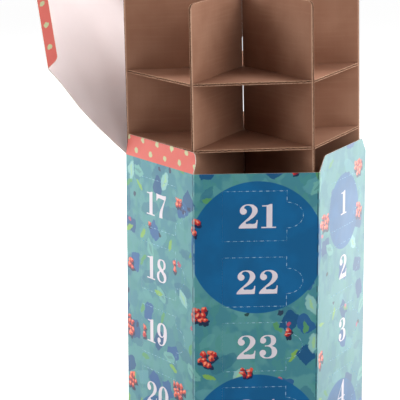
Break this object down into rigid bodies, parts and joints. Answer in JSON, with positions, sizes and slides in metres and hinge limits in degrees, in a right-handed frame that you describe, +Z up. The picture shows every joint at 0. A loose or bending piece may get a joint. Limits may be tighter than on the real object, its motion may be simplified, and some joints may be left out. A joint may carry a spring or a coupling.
{
  "type": "advent calendar",
  "caption": "Hexagonal card tower with numbered tear-open doors around a lift-out tray of corrugated-board compartments, under a hinged lid.",
  "frame": {"origin": "centre of the carton's underside, on the surface that it stands on", "axes": "+Z up through the hexagon's centre, front side facing -Y, +X to the right of the front side"},
  "size_m": [0.3162, 0.2765, 0.437],
  "materials": {
    "printed_board": "printed folding boxboard, satin",
    "dotted_board": "printed folding boxboard, coral with pale dots",
    "white_board": "uncoated white board",
    "corrugated_kraft": "unprinted brown corrugated board"
  },
  "bodies": {
    "carton": {"bottom_flap_back": "white_board", "bottom_flap_back_left": "white_board", "bottom_flap_back_right": "white_board", "bottom_flap_front_left": "white_board", "bottom_flap_front_right": "white_board", "bottom_panel": "white_board", "glue_flap": "white_board", "wall_back": "printed_board", "wall_back_left": "printed_board", "wall_back_right": "printed_board", "wall_front": "printed_board", "wall_front_left": "printed_board", "wall_front_right": "printed_board"},
    "tray": {"divider_back_left": "corrugated_kraft", "divider_back_right": "corrugated_kraft", "divider_front_left": "corrugated_kraft", "divider_front_right": "corrugated_kraft", "divider_left": "corrugated_kraft", "divider_right": "corrugated_kraft", "shelf_1": "corrugated_kraft", "shelf_2": "corrugated_kraft", "shelf_3": "corrugated_kraft", "tray_base": "corrugated_kraft"},
    "lid": {"lid_panel": "white_board"},
    "lid_tuck_tab_front": {"lid_tuck_tab_front": "dotted_board"},
    "lid_tuck_tab_right": {"lid_tuck_tab_right": "dotted_board"},
    "rim_tab_front_left": {"rim_tab_front_left": "dotted_board"},
    "rim_tab_front_right": {"rim_tab_front_right": "printed_board"},
    "rim_tab_back": {"rim_tab_back": "dotted_board"},
    "door_01": {"door_01": "printed_board"},
    "door_02": {"door_02": "printed_board"},
    "door_03": {"door_03": "printed_board"},
    "door_04": {"door_04": "printed_board"},
    "door_05": {"door_05": "printed_board"},
    "door_06": {"door_06": "printed_board"},
    "door_07": {"door_07": "printed_board"},
    "door_08": {"door_08": "printed_board"},
    "door_09": {"door_09": "printed_board"},
    "door_10": {"door_10": "printed_board"},
    "door_11": {"door_11": "printed_board"},
    "door_12": {"door_12": "printed_board"},
    "door_13": {"door_13": "printed_board"},
    "door_14": {"door_14": "printed_board"},
    "door_15": {"door_15": "printed_board"},
    "door_16": {"door_16": "printed_board"},
    "door_17": {"door_17": "printed_board"},
    "door_18": {"door_18": "printed_board"},
    "door_19": {"door_19": "printed_board"},
    "door_20": {"door_20": "printed_board"},
    "door_21": {"door_21": "printed_board"},
    "door_22": {"door_22": "printed_board"},
    "door_23": {"door_23": "printed_board"},
    "door_24": {"door_24": "printed_board"}
  },
  "joints": [
    {"name": "tray_slide", "type": "slide", "parent": "carton", "child": "tray", "axis": [-0.0178, 0, 0.9998], "range_m": [-0.1534, 0.108]},
    {"name": "lid_crease", "type": "hinge", "parent": "carton", "child": "lid", "pos_m": [-0.08625, 0.0498, 0.262], "axis": [-0.5, -0.866, 0], "range_deg": [-27, 60]},
    {"name": "lid_tuck_tab_front_crease", "type": "hinge", "parent": "lid", "child": "lid_tuck_tab_front", "pos_m": [-0.19346, 0.0121, 0.39177], "axis": [-0.125, 0.6495, 0.75], "range_deg": [-95, 50]},
    {"name": "lid_tuck_tab_right_crease", "type": "hinge", "parent": "lid", "child": "lid_tuck_tab_right", "pos_m": [-0.10721, 0.16149, 0.39177], "axis": [0.625, 0.2165, -0.75], "range_deg": [-95, 50]},
    {"name": "rim_tab_front_left_crease", "type": "hinge", "parent": "carton", "child": "rim_tab_front_left", "pos_m": [-0.08625, -0.0498, 0.262], "axis": [0.5, -0.866, 0], "range_deg": [0, 88]},
    {"name": "rim_tab_front_right_crease", "type": "hinge", "parent": "carton", "child": "rim_tab_front_right", "pos_m": [0.08625, -0.0498, 0.262], "axis": [0.5, 0.866, 0], "range_deg": [0, 88]},
    {"name": "rim_tab_back_crease", "type": "hinge", "parent": "carton", "child": "rim_tab_back", "pos_m": [0, 0.09959, 0.262], "axis": [-1, 0, 0], "range_deg": [0, 88]},
    {"name": "door_01_crease", "type": "hinge", "parent": "carton", "child": "door_01", "pos_m": [0.07075, -0.07664, 0.1991], "axis": [0, 0, -1], "range_deg": [0, 150]},
    {"name": "door_02_crease", "type": "hinge", "parent": "carton", "child": "door_02", "pos_m": [0.07075, -0.07664, 0.1372], "axis": [0, 0, -1], "range_deg": [0, 150]},
    {"name": "door_03_crease", "type": "hinge", "parent": "carton", "child": "door_03", "pos_m": [0.07075, -0.07664, 0.0753], "axis": [0, 0, -1], "range_deg": [0, 150]},
    {"name": "door_04_crease", "type": "hinge", "parent": "carton", "child": "door_04", "pos_m": [0.07075, -0.07664, 0.0134], "axis": [0, 0, -1], "range_deg": [0, 150]},
    {"name": "door_05_crease", "type": "hinge", "parent": "carton", "child": "door_05", "pos_m": [0.10175, 0.02295, 0.1991], "axis": [0, 0, -1], "range_deg": [0, 150]},
    {"name": "door_06_crease", "type": "hinge", "parent": "carton", "child": "door_06", "pos_m": [0.10175, 0.02295, 0.1372], "axis": [0, 0, -1], "range_deg": [0, 150]},
    {"name": "door_07_crease", "type": "hinge", "parent": "carton", "child": "door_07", "pos_m": [0.10175, 0.02295, 0.0753], "axis": [0, 0, -1], "range_deg": [0, 150]},
    {"name": "door_08_crease", "type": "hinge", "parent": "carton", "child": "door_08", "pos_m": [0.10175, 0.02295, 0.0134], "axis": [0, 0, -1], "range_deg": [0, 150]},
    {"name": "door_09_crease", "type": "hinge", "parent": "carton", "child": "door_09", "pos_m": [0.031, 0.09959, 0.1991], "axis": [0, 0, -1], "range_deg": [0, 150]},
    {"name": "door_10_crease", "type": "hinge", "parent": "carton", "child": "door_10", "pos_m": [0.031, 0.09959, 0.1372], "axis": [0, 0, -1], "range_deg": [0, 150]},
    {"name": "door_11_crease", "type": "hinge", "parent": "carton", "child": "door_11", "pos_m": [0.031, 0.09959, 0.0753], "axis": [0, 0, -1], "range_deg": [0, 150]},
    {"name": "door_12_crease", "type": "hinge", "parent": "carton", "child": "door_12", "pos_m": [0.031, 0.09959, 0.0134], "axis": [0, 0, -1], "range_deg": [0, 150]},
    {"name": "door_13_crease", "type": "hinge", "parent": "carton", "child": "door_13", "pos_m": [-0.07075, 0.07664, 0.1991], "axis": [0, 0, -1], "range_deg": [0, 150]},
    {"name": "door_14_crease", "type": "hinge", "parent": "carton", "child": "door_14", "pos_m": [-0.07075, 0.07664, 0.1372], "axis": [0, 0, -1], "range_deg": [0, 150]},
    {"name": "door_15_crease", "type": "hinge", "parent": "carton", "child": "door_15", "pos_m": [-0.07075, 0.07664, 0.0753], "axis": [0, 0, -1], "range_deg": [0, 150]},
    {"name": "door_16_crease", "type": "hinge", "parent": "carton", "child": "door_16", "pos_m": [-0.07075, 0.07664, 0.0134], "axis": [0, 0, -1], "range_deg": [0, 150]},
    {"name": "door_17_crease", "type": "hinge", "parent": "carton", "child": "door_17", "pos_m": [-0.10175, -0.02295, 0.1991], "axis": [0, 0, -1], "range_deg": [0, 150]},
    {"name": "door_18_crease", "type": "hinge", "parent": "carton", "child": "door_18", "pos_m": [-0.10175, -0.02295, 0.1372], "axis": [0, 0, -1], "range_deg": [0, 150]},
    {"name": "door_19_crease", "type": "hinge", "parent": "carton", "child": "door_19", "pos_m": [-0.10175, -0.02295, 0.0753], "axis": [0, 0, -1], "range_deg": [0, 150]},
    {"name": "door_20_crease", "type": "hinge", "parent": "carton", "child": "door_20", "pos_m": [-0.10175, -0.02295, 0.0134], "axis": [0, 0, -1], "range_deg": [0, 150]},
    {"name": "door_21_crease", "type": "hinge", "parent": "carton", "child": "door_21", "pos_m": [-0.031, -0.09959, 0.1991], "axis": [0, 0, -1], "range_deg": [0, 150]},
    {"name": "door_22_crease", "type": "hinge", "parent": "carton", "child": "door_22", "pos_m": [-0.031, -0.09959, 0.1372], "axis": [0, 0, -1], "range_deg": [0, 150]},
    {"name": "door_23_crease", "type": "hinge", "parent": "carton", "child": "door_23", "pos_m": [-0.031, -0.09959, 0.0753], "axis": [0, 0, -1], "range_deg": [0, 150]},
    {"name": "door_24_crease", "type": "hinge", "parent": "carton", "child": "door_24", "pos_m": [-0.031, -0.09959, 0.0134], "axis": [0, 0, -1], "range_deg": [0, 150]}
  ]
}
